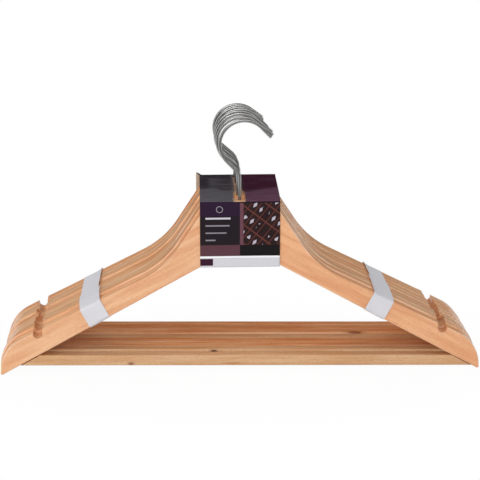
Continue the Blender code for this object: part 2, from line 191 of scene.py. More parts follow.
def roundedPath(corners, closed=True, straightStep=5.0, arcStep=1.6):
    # Corners are rows of (a, b, radius). Each is rounded by an arc that touches both of its straights:
    # centre = corner + bisector * radius / sin(half the corner's angle). An arc's points are swung from
    # its start to its end, and a straight is divided about every straightStep
    corners = np.array(corners, float)
    place, radius = corners[:, :2], corners[:, 2]
    back = np.roll(place, 1, 0) - place
    on = np.roll(place, -1, 0) - place
    back /= np.linalg.norm(back, axis=1)[:, None]
    on /= np.linalg.norm(on, axis=1)[:, None]
    half = np.arccos(np.clip((back * on).sum(1), -1, 1)) / 2
    bisector = back + on
    bisector /= np.maximum(np.linalg.norm(bisector, axis=1), 1e-9)[:, None]
    centre = place + bisector * (radius / np.sin(half))[:, None]
    starts = place + back * (radius / np.tan(half))[:, None]
    ends = place + on * (radius / np.tan(half))[:, None]
    rows = []
    for n in range(len(corners)):
        turn = math.pi - 2 * half[n]
        if radius[n] > 0:
            count = max(math.ceil(turn * radius[n] / arcStep), math.ceil(turn / 0.16), 2)
            swing = np.linspace(0, turn, count + 1)[:, None]
            first, last = starts[n] - centre[n], ends[n] - centre[n]
            rows.append(centre[n] + (first * np.sin(turn - swing) + last * np.sin(swing)) / math.sin(turn))
        else:
            rows.append(place[n:n + 1])
        if closed or n < len(corners) - 1:
            run = starts[(n + 1) % len(corners)] - ends[n]
            count = max(math.ceil(np.linalg.norm(run) / straightStep), 1)
            rows.append(ends[n] + run * (np.arange(1, count) / count)[:, None])
    path = np.concatenate(rows)
    step = np.linalg.norm(path - np.roll(path, 1, 0), axis=1)
    return path[(step > 1e-4) | (np.arange(len(path)) == 0)]


def hangerPlace(n):
    # where hanger n stands in the bundle, in millimetres: to the right, in depth and off the ground
    leftLow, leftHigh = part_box(f"left_arm_{n}")
    rightLow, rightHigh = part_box(f"right_arm_{n}")
    lift = leftLow.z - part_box("left_arm_1")[0].z
    return np.array(((leftLow.x + rightHigh.x) / 2, (leftLow.y + leftHigh.y) / 2, lift)) / mm


hangerPlaces = np.array([hangerPlace(n) for n in range(1, hangerCount + 1)])

# Wood: knot-free and knotty strips of fir, planed, sanded and dipped in clear lacquer. It gives a pale
# peach ground, long soft streaks that follow the board, fine fibres, and darker tips where the grain ends
wood = {
    # rim: how much of the painted highlight on the rims shows
    "arms": (
        {"pale": "#EEBC90", "deep": "#E4A77A", "streak": "#BC7E54", "rim": 0.44},
        {"pale": "#EEB485", "deep": "#E09D6E", "streak": "#B6774E", "rim": 0.44},
        {"pale": "#EABE95", "deep": "#DCA87E", "streak": "#B2825C", "rim": 0.44},
    ),
    "bars": (
        {"pale": "#D8AE84", "deep": "#CE9C6C", "streak": "#9C6436", "rim": 0.1},
        {"pale": "#E6AE7A", "deep": "#D68F5A", "streak": "#AC6432", "rim": 0.5},
        {"pale": "#E2A976", "deep": "#D18A56", "streak": "#A46232", "rim": 0.5},
    ),
    # noises drawn out along the fibres: length and width in mm, detail and roughness. Real fibres are
    # 0.05 mm wide; these are as coarse as the picture can show
    "patterns": {
        "clouds": (70.0, 6.0, 2.0, 0.5),
        "waves": (160.0, 22.0, 1.0, 0.5),
        "fibres": (11.0, 0.7, 3.0, 0.6),
        "pores": (2.4, 0.6, 1.0, 0.5),
        "highlightNoise": (170.0, 30.0, 0.0, 0.5),
    },
    # laid over the pale ground in turn: a pattern, where it begins, where it is full, its share and its
    # colour. The last one is for cut ends, which drink more lacquer and turn darker
    "layers": (
        ("clouds", 0.34, 0.68, 1.0, "deep"),
        ("rings", 0.30, 0.50, 0.12, "streak"),
        ("fibres", 0.52, 0.78, 0.20, "streak"),
        ("fibres", 0.48, 0.24, 0.14, "#F6D8B8"),
        ("pores", 0.55, 0.72, 0.34, "streak"),
        ("endGrain", 0.15, 1.0, 0.60, "streak"),
    ),
    "ringWidth": 3.4,  # from one growth ring to the next
    "ringBend": 9.0,  # how many of those the waves push them over, so that they run out in long flames
    # painted highlight: rims laid paler where a light's highlight would lie, more on some lengths of a board
    # than on others
    "highlightPatches": (0.42, 0.62),
    "sanded": (0.35, 0.95),
    "sandedColour": "#FBE3CB",
    "roughness": 0.27,
    "gloss": 0.5,
    "relief": (0.25, 0.06),  # the fibres': strength, and depth in mm
}
# Knots and a resin slit in the bars: middle (x, y, z) and half lengths, in mm
knots = (
    {"middle": (-101.8, -49.0, 9.3), "half": (2.8, 4.0, 1.6), "colour": "#8A5A34"},
    {"middle": (-24.7, -37.0, 16.2), "half": (3.6, 1.3, 1.5), "colour": "#4A2612"},
    {"middle": (113.0, 14.5, 14.3), "half": (8.5, 3.4, 3.0), "colour": "#8E4E2A"},
    {"middle": (-8.0, -49.0, 8.4), "half": (9.0, 4.0, 1.0), "colour": "#B98350"},
)
# A knot's halo and core: where each begins and is full, in half lengths from its middle, and its share
knotFades = ((2.3, 1.0, 0.45), (1.35, 0.9, 0.95))
knotBreak = 0.8  # how much a fine noise breaks up a knot's rim


def knotDistance(tree, knot):
    # how far a point is from the knot's middle, in half lengths, broken up by a fine noise
    place = addNode(tree, "TexCoord", output="Object")
    middle, half = ([value * mm for value in knot[word]] for word in ("middle", "half"))
    apart = addNode(tree, "VectorMath", (place, middle), operation="SUBTRACT")
    shares = addNode(tree, "VectorMath", (apart, half), operation="DIVIDE")
    length = addNode(tree, "VectorMath", (shares,), "Value", operation="LENGTH")
    rough = addNode(tree, "TexNoise", {"Vector": place, "Scale": 0.9 / mm, "Detail": 2.0})
    return addNode(tree, "Math", (rough, knotBreak, length), operation="MULTIPLY_ADD")


def makeWood(name, tones, marks=()):
    # the grain attribute runs in mm: along the fibres, across them in the face, and through the board
    surface, tree = newMaterial(name, wood["roughness"], gloss=wood["gloss"])
    grain = addNode(tree, "Attribute", output="Vector", attribute_name="grain")
    pattern = {}
    for word in ("endGrain", "rimHighlightShare"):
        pattern[word] = addNode(tree, "Attribute", output="Fac", attribute_name=word)
    for word, (along, across, detail, roughness) in wood["patterns"].items():
        scale = (1 / along, 1 / across, 1 / across)
        spread = addNode(tree, "Mapping", {"Vector": grain, "Scale": scale})
        noise = {"Vector": spread, "Scale": 1.0, "Detail": detail, "Roughness": roughness}
        pattern[word] = addNode(tree, "TexNoise", noise)
    # growth rings: places across the fibres, in rings, pushed over by the waves and folded to and fro
    across = addNode(tree, "SeparateXYZ", (grain,), "Y")
    ring = addNode(tree, "Math", (across, wood["ringWidth"]), operation="DIVIDE")
    bent = addNode(tree, "Math", (pattern["waves"], wood["ringBend"], ring), operation="MULTIPLY_ADD")
    pattern["rings"] = addNode(tree, "Math", (bent, 0.5), operation="PINGPONG")
    fades = [(pattern[word], *fade, tones.get(over, over)) for word, *fade, over in wood["layers"]]
    for mark in marks:
        distance = knotDistance(tree, mark)
        fades += [(distance, *fade, mark["colour"]) for fade in knotFades]
    # painted highlight: the rims are laid paler, in patches along the board
    span = (pattern["highlightNoise"], *wood["highlightPatches"], 0.0, tones["rim"])
    highlightPatches = addNode(tree, "MapRange", span, interpolation_type="SMOOTHSTEP")
    fades.append((pattern["rimHighlightShare"], *wood["sanded"], highlightPatches, wood["sandedColour"]))
    layers = []
    for value, low, high, most, over in fades:
        share = addNode(tree, "MapRange", (value, low, high, 0.0, most), interpolation_type="SMOOTHSTEP")
        layers.append((share, over))
    colour = laidOver(tree, linear(tones["pale"]), layers)
    dressSurface(tree, colour, (*wood["relief"], pattern["fibres"]))
    return surface


armFinishes = [makeWood(f"lacquered fir arm {n}", tones) for n, tones in enumerate(wood["arms"], 1)]
barFinishes = [makeWood(f"lacquered fir bar {n}", tones, knots) for n, tones in enumerate(wood["bars"], 1)]
print("wood finishes made")

# The arm boards, in mm as they are sawn. The sizes repeat the solids' own; what differs from board to
# board, and how round the rims are, is added here
arm = {
    "span": 445.0,
    "thickness": 12.0,
    "rim": 1.3,  # how round the sanded edges are
    # the smallest rim at the notch, the tip and the comb, its growth for each mm further away, and the
    # distance where that begins
    "tightRims": {"notch": (0.45, 0.35, 8.5), "tip": (1.0, 0.35, 3.0), "comb": (0.12, 0.5, 1.0)},
    "sharp": 40,  # degrees: edges that turn more stay sharp
    "lowerAngle": 29.05,
    "upperAngle": 26.57,
    "flareAngle": 56.8,
    "tipRadius": 1.5,
    "shoulderRadius": 36.7,
    "flareRadius": 90.0,
    "notchFromTip": 35.4,
    "notchWidth": 8.5,
    "notchDepth": 7.5,
    "notchLip": 0.6,
    "heightAtNotch": 24.1,
    "neckRise": 41.1,
    "neckHalfWidth": 28.8,
    "neckCorner": 8.0,
    "crotchHalfWidth": 14.0,
    "crotchRadius": 25.0,
    "combBands": 5,
    "combReach": 6.0,
    "combTaper": 1.2,
    "gap": 0.3,
    "flareDiffers": (0, -7, 8, -4, 9, -8, 4, -5),  # the bandsawn flare is a little different on each
    # the notches are cut by hand feed, so each lies a little further in or out than the next
    "notchDiffers": {
        -1: (0.0, -1.3, 1.4, 0.0, -0.9, 0.6, -0.8, 0.2),
        1: (0.0, 1.4, 1.4, -1.0, -0.2, 1.0, -0.6, 0.1),
    },
    "notchDeeper": (0.0, -0.7, 0.3, -0.5, 0.5, -0.6, 0.3, 0.0),
    "finish": (0, 1, 2, 0, 1, 0, 2, 1),
}
# Each edge of an arm is a line (height in the middle of the hanger, fall for each mm outwards)
halfSpan = arm["span"] / 2
fallOf = {edge: math.tan(math.radians(arm[edge + "Angle"])) for edge in ("lower", "upper", "flare")}
grainAngle = math.radians((arm["lowerAngle"] + arm["upperAngle"]) / 2)
tipRadius = arm["tipRadius"]
tipDrop = tipRadius - tipRadius / math.cos(math.radians(arm["lowerAngle"]))
lowerLine = (tipDrop + fallOf["lower"] * (halfSpan - tipRadius), fallOf["lower"])
notchMiddle = halfSpan - arm["notchFromTip"]
edgeAtNotch = lowerLine[0] - lowerLine[1] * notchMiddle + arm["heightAtNotch"]
upperLine = (edgeAtNotch + fallOf["upper"] * notchMiddle, fallOf["upper"])
neckTop = lowerLine[0] + arm["neckRise"]
flareLine = (neckTop + fallOf["flare"] * arm["neckHalfWidth"], fallOf["flare"])
crotch = lowerLine[0] - lowerLine[1] * arm["crotchHalfWidth"]
hole = {
    "shank": 1.8,
    "shankOffCentre": -1.2,  # it is bored left of the neck's middle
    "counterbore": 3.8,
    "counterboreDepth": 6.0,
    "dowel": 2.8,
    "dowelLength": 24.6,
}


def lineMeet(first, second):
    x = (first[0] - second[0]) / (first[1] - second[1])
    return x, first[0] - first[1] * x


def onLine(line, x):
    return x, line[0] - line[1] * x


def combEdge(startsWithFinger):
    # the comb joint's side of an arm from the neck's top down: fingers pass the middle by combReach and
    # recesses stay as far short of it, half the gap apart from the other arm, with tapered flanks
    number = np.arange(arm["combBands"])[::-1]
    isFinger = (number % 2 == 0) == startsWithFinger
    halfGap = arm["gap"] / 2
    reach = np.where(isFinger, -arm["combReach"], arm["combReach"]) + halfGap
    band = (neckTop - crotch) / arm["combBands"]
    flank = crotch + number[:-1] * band + np.where(isFinger[:-1], halfGap, -halfGap)
    above = np.stack((reach[:-1], flank + arm["combTaper"] / 2), 1)
    below = np.stack((reach[1:], flank - arm["combTaper"] / 2), 1)
    steps = np.stack((above, below), 1).reshape(-1, 2)
    return [(reach[0], neckTop), *map(tuple, steps), (reach[-1], crotch)]


def armPath(side, flareRadius, notchAt, notchFloor):
    # an arm's outline, anticlockwise from the front, as its corners and their radii say
    halfNotch = arm["notchWidth"] / 2
    corners = [
        (*lineMeet((crotch, 0), lowerLine), arm["crotchRadius"]),
        (*onLine(lowerLine, halfSpan), tipRadius),
        (*onLine(upperLine, halfSpan), arm["shoulderRadius"]),
        (*onLine(upperLine, notchAt + halfNotch), arm["notchLip"]),
        (notchAt + halfNotch, notchFloor, halfNotch),
        (notchAt - halfNotch, notchFloor, halfNotch),
        (*onLine(upperLine, notchAt - halfNotch), arm["notchLip"]),
        (*lineMeet(upperLine, flareLine), flareRadius),
        (*lineMeet(flareLine, (neckTop, 0)), arm["neckCorner"]),
    ]
    corners += [(x, z, 0.0) for x, z in combEdge(side < 0)]
    path = roundedPath(corners)
    return path if side > 0 else path[::-1] * (-1, 1)


def armRim(path, side):
    # the rim's radius at each point of the outline: full on the long edges, and growing from the small
    # one with the distance from the notch, the tip and the comb
    x, z = path[:, 0] * side, path[:, 1]
    away = {
        "notch": np.hypot(x - notchMiddle, z - edgeAtNotch),
        "tip": np.hypot(x - halfSpan, z),
        "comb": x - arm["combReach"],
    }
    rim = np.full(len(path), arm["rim"])
    for word, (small, growth, beginning) in arm["tightRims"].items():
        rim = np.minimum(rim, small + growth * np.maximum(away[word] - beginning, 0))
    return rim


def easedPlate(name, path, rim, thickness, steps=6):
    # A board with rounded rims: its outline carried through its thickness. At turn t the outline is
    # drawn in by rim * (1 - sin t) and lies rim * (1 - cos t) behind the face. One more ring on each
    # face, 1.12 rims in, keeps the faces flat to the eye
    ahead = np.roll(path, -1, 0) - path
    ahead /= np.linalg.norm(ahead, axis=1)[:, None]
    out = np.stack((ahead[:, 1], -ahead[:, 0]), 1)
    before = np.roll(out, 1, 0)
    mitre = (out + before) / (1 + (out * before).sum(1))[:, None]
    turn = np.linspace(0, np.pi / 2, steps + 1)
    drawnIn = rim[:, None] * np.concatenate(((1.12,), 1 - np.sin(turn)))
    behind = rim[:, None] * np.concatenate(((0.0,), 1 - np.cos(turn)))
    drawnIn = np.concatenate((drawnIn, drawnIn[:, ::-1]), 1)
    depth = np.concatenate((behind - thickness / 2, thickness / 2 - behind[:, ::-1]), 1)
    flat = path[:, None, :] - mitre[:, None, :] * drawnIn[:, :, None]
    points = np.stack((flat[:, :, 0], depth, flat[:, :, 1]), -1)
    count, rings = depth.shape
    front = np.arange(count) * rings
    back = front[::-1] + rings - 1
    return newMesh(name, points, gridFaces(count, rings, closedRows=True), (front, back))


def drilled(mesh, holes):
    # the mesh with round holes (start, end, radius) taken out of it, in mm
    blank = addObject(mesh.name, mesh)
    drills = []
    for start, end, radius in holes:
        start, end, size = Vector(start) * mm, Vector(end) * mm, radius * mm
        long = (end - start).length
        form = bmesh.new()
        bmesh.ops.create_cone(form, cap_ends=True, segments=32, radius1=size, radius2=size, depth=long)
        turned = (end - start).to_track_quat("Z", "Y").to_matrix().to_4x4()
        form.transform(Matrix.Translation((start + end) / 2) @ turned)
        drill = addObject("drill", bpy.data.meshes.new("drill"))
        form.to_mesh(drill.data)
        form.free()
        drills.append(drill)
        step = blank.modifiers.new("hole", "BOOLEAN")
        step.object, step.operation, step.solver = drill, "DIFFERENCE", "EXACT"
    bpy.context.view_layer.update()
    result = bpy.data.meshes.new_from_object(blank.evaluated_get(bpy.context.evaluated_depsgraph_get()))
    result.name = mesh.name
    for item in [blank] + drills:
        bpy.data.objects.remove(item, do_unlink=True)
    return result


def setGrain(mesh, along, across, shift):
    # the grain's place in mm at each point, from the board's own directions; how squarely the surface
    # there cuts the fibres: the size of its normal along them; and how much it is rim, where the rims'
    # painted highlight goes: 2 sin a cos a, with a the normal's angle from the face
    points = meshPoints(mesh)
    through = np.cross(along, across)
    place = np.stack((points @ along, points @ across, points @ through), 1) + shift
    normals = np.empty(len(points) * 3)
    mesh.vertex_normals.foreach_get("vector", normals)
    normals = normals.reshape(-1, 3)
    facing = np.abs(normals[:, 1])
    setAttribute(mesh, "grain", place)
    setAttribute(mesh, "endGrain", np.abs(normals @ along))
    setAttribute(mesh, "rimHighlightShare", 2 * facing * np.sqrt(np.clip(1 - facing ** 2, 0, 1)))


bar = {
    "height": 10.2,
    "middleHeight": 10.8,
    "slant": math.radians(0.85),  # its right end lies lower
    "jointGap": {-1: 0.5, 1: 0.3},  # the glue line at its left and right ends
    "rim": 2.0,
    "rows": 90,  # of points from end to end
    "sharp": 40,
    "finish": (0, 0, 1, 2, 0, 1, 2, 1),
    "acrossRings": (0, 0.25, 0.97),  # its growth rings lie nearly level
}
lowerTurn = math.radians(arm["lowerAngle"])


def barEnd(side, across, inset):
    # where the line along the bar at this height across it meets the arm's lower edge, inset from it:
    # x = side * (level * cos(slant) - height * cos(lower)) / sin(lower - side * slant)
    slant = bar["slant"]
    level = lowerLine[0] * math.cos(lowerTurn) - inset
    height = bar["middleHeight"] * math.cos(slant) + across
    x = side * (level * math.cos(slant) - height * math.cos(lowerTurn)) / math.sin(lowerTurn - side * slant)
    return x, (height - math.sin(slant) * x) / math.cos(slant)


def dowelEnds(side):
    x, z = barEnd(side, 0.0, bar["jointGap"][side] / 2)
    along = np.array((math.cos(bar["slant"]), 0, -math.sin(bar["slant"]))) * hole["dowelLength"] / 2
    return np.array((x, 0, z)) - along, np.array((x, 0, z)) + along


def armMesh(side, n):
    flareRadius = arm["flareRadius"] + arm["flareDiffers"][n - 1]
    notchAt = notchMiddle + arm["notchDiffers"][side][n - 1]
    notchFloor = onLine(upperLine, notchAt)[1] - arm["notchDepth"] - arm["notchDeeper"][n - 1]
    path = armPath(side, flareRadius, notchAt, notchFloor)
    mesh = easedPlate("arm", path, armRim(path, side), arm["thickness"])
    low, shank = crotch - hole["counterboreDepth"], hole["shankOffCentre"]
    holes = [
        ((shank, 0, low), (shank, 0, neckTop + 5), hole["shank"]),
        ((shank, 0, low), (shank, 0, crotch + hole["counterboreDepth"]), hole["counterbore"]),
        (*dowelEnds(side), hole["dowel"]),
    ]
    return drilled(mesh, holes)


def barMesh():
    # a rounded oblong carried from end to end: at share u a point lies u of the way from the left
    # arm's edge to the right one's, along its own line of the bar
    halfDeep, halfHigh, rim = arm["thickness"] / 2, bar["height"] / 2, bar["rim"]
    corners = [(-halfDeep, -halfHigh, rim), (halfDeep, -halfHigh, rim)]
    corners += [(halfDeep, halfHigh, rim), (-halfDeep, halfHigh, rim)]
    section = roundedPath(corners, straightStep=1.5, arcStep=0.4)
    share = np.linspace(0, 1, bar["rows"])[:, None]
    leftX, leftZ = barEnd(-1, section[:, 1], bar["jointGap"][-1])
    rightX, rightZ = barEnd(1, section[:, 1], bar["jointGap"][1])
    depth = np.broadcast_to(section[:, 0], (len(share), len(section)))
    rings = np.stack((leftX + (rightX - leftX) * share, depth, leftZ + (rightZ - leftZ) * share), -1)
    return drilled(tubeMesh("bar", rings), [(*dowelEnds(side), hole["dowel"]) for side in (-1, 1)])


# Every board is sawn from another place of the plank, up to this many mm away in each direction
sawnApart = 400
grainDraw = np.random.default_rng(seedFor["grain"])
plainBar = barMesh()
for n, place in enumerate(hangerPlaces, 1):
    for side, word in ((-1, "left"), (1, "right")):
        mesh = armMesh(side, n)
        setPoints(mesh, meshPoints(mesh) + place)
        along = np.array((side * math.cos(grainAngle), 0, -math.sin(grainAngle)))
        across = np.array((side * math.sin(grainAngle), 0, math.cos(grainAngle)))
        setGrain(mesh, along, across, grainDraw.uniform(-sawnApart, sawnApart, 3))
        finish = armFinishes[(arm["finish"][n - 1] + (side > 0) * (n % 3)) % len(armFinishes)]
        addPiece(f"{word}_board_{n}", mesh, arm["sharp"], [finish], "bundle", "arm_wood", f"{word}_arm_{n}")
    mesh = plainBar.copy()
    setPoints(mesh, meshPoints(mesh) + place)
    along = np.array((math.cos(bar["slant"]), 0, -math.sin(bar["slant"])))
    setGrain(mesh, along, np.array(bar["acrossRings"]), grainDraw.uniform(-sawnApart, sawnApart, 3))
    finish = barFinishes[bar["finish"][n - 1]]
    addPiece(f"bar_rail_{n}", mesh, bar["sharp"], [finish], "bundle", "bar_wood", f"trouser_bar_{n}")
bpy.data.meshes.remove(plainBar)
print("arm boards and bars made")

# Hooks: drawn steel wire, bent cold and chrome plated. The plating is bright and smooth, and a little
# cloudy in long patches along the wire
hookShape = {
    "wire": 3.0,
    "rivet": 5.2,
    "rivetThickness": 1.4,
    "washer": 0.8,
    "shankRise": 22.6,
    "bendRadius": 8.0,
    "crookRadius": 21.9,
    "crookClear": 5.2,
    "endRound": 0.7,  # the cut end's round, in wire radii
    "rises": (1.2, 0.0, 1.3, 1.6, 1.2, 0.0, -0.7, -1.6),  # how much higher each wire is bent
    "asides": (4.2, 3.1, 1.2, 1.5, 2.4, 2.4, 2.4, 2.2),  # from the shank's line to the crook's middle
    "turns": (1.0, -1.5, 0.5, 1.5, -0.5, -1.0, 1.0, -0.5),  # degrees about the shank
    # the solids' tails are 12 mm long and fall at 45 degrees; these are bent and cut as they come
    "tailLengths": (12.6, 19.4, 20.2, 18.8, 13.8, 13.0, 11.2, 13.6),
    "tailFalls": (46.0, 37.4, 38.3, 41.4, 47.0, 46.0, 43.0, 36.0),  # degrees below level
    "sides": 20,
    "sharp": 50,
}
chromeLook = {
    "roughness": 0.28,
    "metallic": 1.0,
    "dark": "#9A9A99",
    "light": "#AEAEAC",
    "attribute": "wire",
    "patch": (25.0, 3.0, 1.0),  # along the wire and round it
    "detail": 0.0,
}


def arc(centre, radius, start, end, count):
    # centre + radius * (cos a, sin a), with a going evenly from start to end
    a = np.linspace(start, end, count)[:, None]
    return np.array(centre) + radius * np.concatenate((np.cos(a), np.sin(a)), 1)


def hookLine(rise, aside, tailLength, tailFall):
    # the wire's middle line in its own plane (x, z), and its radius there: rivet head, straight shank,
    # the bend, the leaning straight that touches the crook, the crook and the straight tail
    radius = hookShape["wire"] / 2
    bendHeight = neckTop + hookShape["shankRise"] + rise
    crookRadius, bendRadius = hookShape["crookRadius"], hookShape["bendRadius"]
    above = crookRadius + hookShape["crookClear"]
    lean = math.atan2(above, aside) + math.asin(crookRadius / math.hypot(aside, above))
    bendTurn = lean - math.pi / 2
    cutBack = bendRadius * math.tan(bendTurn / 2)
    bend = arc((-bendRadius, bendHeight - cutBack), bendRadius, 0, bendTurn, 14)
    fall = math.radians(tailFall)
    crook = arc((aside, bendHeight + above), crookRadius, lean + math.pi / 2, math.pi / 2 - fall, 72)
    rivetTop = crotch + hole["counterboreDepth"] - hookShape["washer"] - 2 * arm["gap"]
    # the head is a quarter round below and a short cone above; the tail's end is rounded the same way
    t = np.linspace(0, np.pi / 2, 7)
    headHeight = rivetTop - hookShape["rivetThickness"] * np.cos(t)
    headLine = np.stack((np.zeros(7), headHeight), 1)
    headRadius = hookShape["rivet"] / 2 * np.maximum(np.sin(t), 0.05)
    shank = np.stack((np.zeros(30), np.linspace(rivetTop + 0.15, bend[0, 1] - 0.8, 30)), 1)
    tailWay = np.array((math.cos(fall), -math.sin(fall)))
    tailLine = crook[-1] + tailWay * tailLength * np.linspace(0.08, 0.92, 12)[:, None]
    roundEnd = crook[-1] + tailWay * (tailLength - hookShape["endRound"] * radius * (1 - np.sin(t)))[:, None]
    roundRadius = radius * np.maximum(np.cos(t), 0.05)
    plain = np.concatenate((shank, bend, crook, tailLine))
    line = np.concatenate((headLine, plain, roundEnd))
    return line, np.concatenate((headRadius, np.full(len(plain), radius), roundRadius))


def hookMesh(rise, aside, tailLength, tailFall):
    # a ring round each point of the line, in the plane across its direction:
    # point + radius * (cos t * sideways + sin t * Y)
    line, radius = hookLine(rise, aside, tailLength, tailFall)
    way = np.gradient(line, axis=0)
    way /= np.linalg.norm(way, axis=1)[:, None]
    sideways = np.stack((way[:, 1], -way[:, 0]), 1)
    t = np.linspace(0, 2 * np.pi, hookShape["sides"], endpoint=False)
    flat = line[:, None, :] + sideways[:, None, :] * (radius[:, None] * np.cos(t))[:, :, None]
    rings = np.stack((flat[:, :, 0], radius[:, None] * np.sin(t), flat[:, :, 1]), -1)
    mesh = tubeMesh("hook", rings)
    # the wire attribute runs in metres along the wire and round it
    roundWire = np.broadcast_to(np.abs(np.pi - t) * hookShape["wire"] / 2, rings.shape[:2])
    alongWire = np.broadcast_to(lengthAlong(line)[:, None], rings.shape[:2])
    setAttribute(mesh, "wire", np.stack((alongWire, roundWire, roundWire * 0), -1).reshape(-1, 3) * mm)
    return mesh


chrome = makeClouded("chrome-plated drawn steel wire", chromeLook)
for n in range(1, hangerCount + 1):
    bentAs = (hookShape[word][n - 1] for word in ("rises", "asides", "tailLengths", "tailFalls"))
    mesh = hookMesh(*bentAs)
    mesh.transform(Matrix.Rotation(math.radians(hookShape["turns"][n - 1]), 4, "Z"))
    setPoints(mesh, meshPoints(mesh) + hangerPlaces[n - 1] + (hole["shankOffCentre"], 0, 0))
    addPiece(f"wire_hook_{n}", mesh, hookShape["sharp"], [chrome], f"hook_{n}", "chromed_wire", f"hook_{n}")
print("hooks made")

# The card sleeve: white-lined board, printed and varnished outside, grey and bare inside. The varnish
# is thin, so the ink stays soft black with a faint sheen, and torn edges show pale fibres
cardShape = {
    "thickness": 0.5,
    "foldRadius": 1.2,
    "topRound": 4.0,  # where it bends over the highest neck
    "corner": 2.4,  # how far the back panel's left corner stands up
    "cornerDeep": (3.5, 0.4),  # where that begins and is full, in front of the back fold
    "cornerWide": (4.0, 1.5),  # and from the left edge
    "slotWidth": 11.0,
    "slotOffCentre": -0.4,
    "slotEnd": 45.35,  # where it ends, behind the last hook's wire
    "slotCloses": (1.4, 2.5),  # how far its left and right sides close in towards the back
    "slotClosesOver": (18.0, 34.0),  # from and to this far behind the front panel
    "backWider": 3.4,  # the back panel reaches further to the left
    "skew": 1.6,  # the top panel runs off to the right towards the back
    "bulge": 0.5,  # how far the top panel bows up
    "bulgeFade": 20.0,  # over this much behind the front fold and in front of the back one
    "fray": (0.45, 0.18),  # how far the slot's left and right edges wander
    "tornWidth": 0.9,
    "footCreases": (28.2, 45.4, 54.3),  # upright ones in the front panel's foot, from the left edge
    "creaseHalfWidth": 0.6,
    "creaseDepth": 0.14,
    "creaseHeight": 9.0,
    "waveDepth": 0.12,
    "waveWide": 11.0,  # the length of a turn by one radian across the panel
    "waveHigh": 14.0,  # and up it
    "columns": (28, 10, 29),  # of points: left of the slot, over it and right of it
    "sharp": 50,
}
cardLow, cardHigh = (np.array(corner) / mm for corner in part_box("card_sleeve"))
cardWidth = cardHigh[0] - cardLow[0]
# The top is drawn tight over the necks: it rests on the highest one and falls to both ends
highest = hangerPlaces[np.argmax(hangerPlaces[:, 2])]
frontEave, backEave = cardHigh[2] - highest[2] + hangerPlaces[[0, -1], 2]
panelHeight = frontEave - cardLow[2]
# The print, in mm from the card's left edge (u) and from the front panel's lower edge (v)
ink = {
    "ground": "#1B1618",
    "warm": "#4A2A2A",
    "topStreaks": "#8B868E",
    "paintedSheen": "#77737A",
    "torn": "#B5A6A0",
    "roughness": 0.5,
    "gloss": 0.1,
    "relief": (0.2, 0.08),  # the grit's: strength, and depth in mm
}
# Plain fields: left, low, right, high and colour, later ones over earlier ones
leftGround = (-5.0, -2.0, 36.2, 70.0, "#241D22")
fields = (
    (0.0, 48.0, 36.2, 70.0, "#2D1B31"),
    (36.2, 10.6, 80.0, 21.0, "#1B1718"),
    (-5.0, 10.6, 36.2, 21.0, "#5B3B42"),
    (36.2, 21.0, 39.4, 60.4, "#6A444E"),
    (-5.0, 8.7, 80.0, 10.6, "#F1F1F3"),
    (-5.0, -2.0, 80.0, 8.7, "#D2D1D5"),
    (-5.0, 1.6, 11.7, 8.2, "#3A1B2E"),
    (5.0, 45.2, 27.6, 46.9, "#C9C6CB"),
    (5.0, 38.6, 26.8, 39.9, "#8C878D"),
    (5.0, 31.8, 24.0, 33.1, "#87838A"),
    (5.0, 25.0, 14.0, 26.3, "#8C878D"),
)
# The top panel's left and right halves: their ground, a painted reflection as a lighter band by the front
# fold, and the band's edge, which runs across the card from and to, at a depth behind the fold there
topHalves = {
    "isTop": ("#2C282D", "#535056", 15.0, 21.0, 40.0, 31.0),
    "isTopRight": ("#391527", "#573749", 46.0, 74.0, 26.0, 45.0),
}
reflectionFade = 3.0
ringMark = {"middle": (17.7, 54.4), "radius": 2.8, "line": 0.24, "colour": "#A9A6AC"}
lattice = {
    "field": (39.4, 21.0, 80.0, 60.4),
    "spacing": 7.0,
    "turn": math.radians(38),
    "line": 0.05,  # half of it, in spacings
    "corner": 0.77,  # where a lozenge begins, in spacings from both bars together
    "chosen": 0.46,  # lozenges stand only where the cloud is thicker
    "warmShare": 0.55,
    "barShare": 0.8,
    "lozengeShare": 0.85,
    "bars": "#6A3A32",
    "lozenges": "#C4BCC9",
}
# Noises over the card: size across and along it in mm, turn, detail, where each begins and is full, and
# its share. Pale streaks run along the span of the top; painted sheen beside the slot, where light would
# catch fine wrinkles in the varnish, lies in lines about 2.4 mm apart; torn fibres come and go in strands
cardNoises = {
    "cloud": (14.286, 14.286, 0.0, 2.0, 0.0, 1.0, 1.0),
    # pale streaks along the span, laid on the top panel only
    "topStreak": (20.0, 6.25, -0.2, 3.0, 0.5, 0.75, 0.12),
    # painted sheen: pale lines beside the slot, where light would catch wrinkles in the varnish
    "sheenLines": (28.571, 2.381, -0.24, 1.0, 0.46, 0.62, 0.46),
    "strand": (1.25, 2.857, 0.0, 3.0, 0.42, 0.62, 1.0),
    "grit": (1.111, 1.111, 0.0, 4.0, 0.0, 1.0, 1.0),
}
# where the painted sheen lies beside the slot
sheenField = (8.5, panelHeight + 37.0, 30.0, panelHeight + 82.0, 2.5)  # the last is its rim's fade
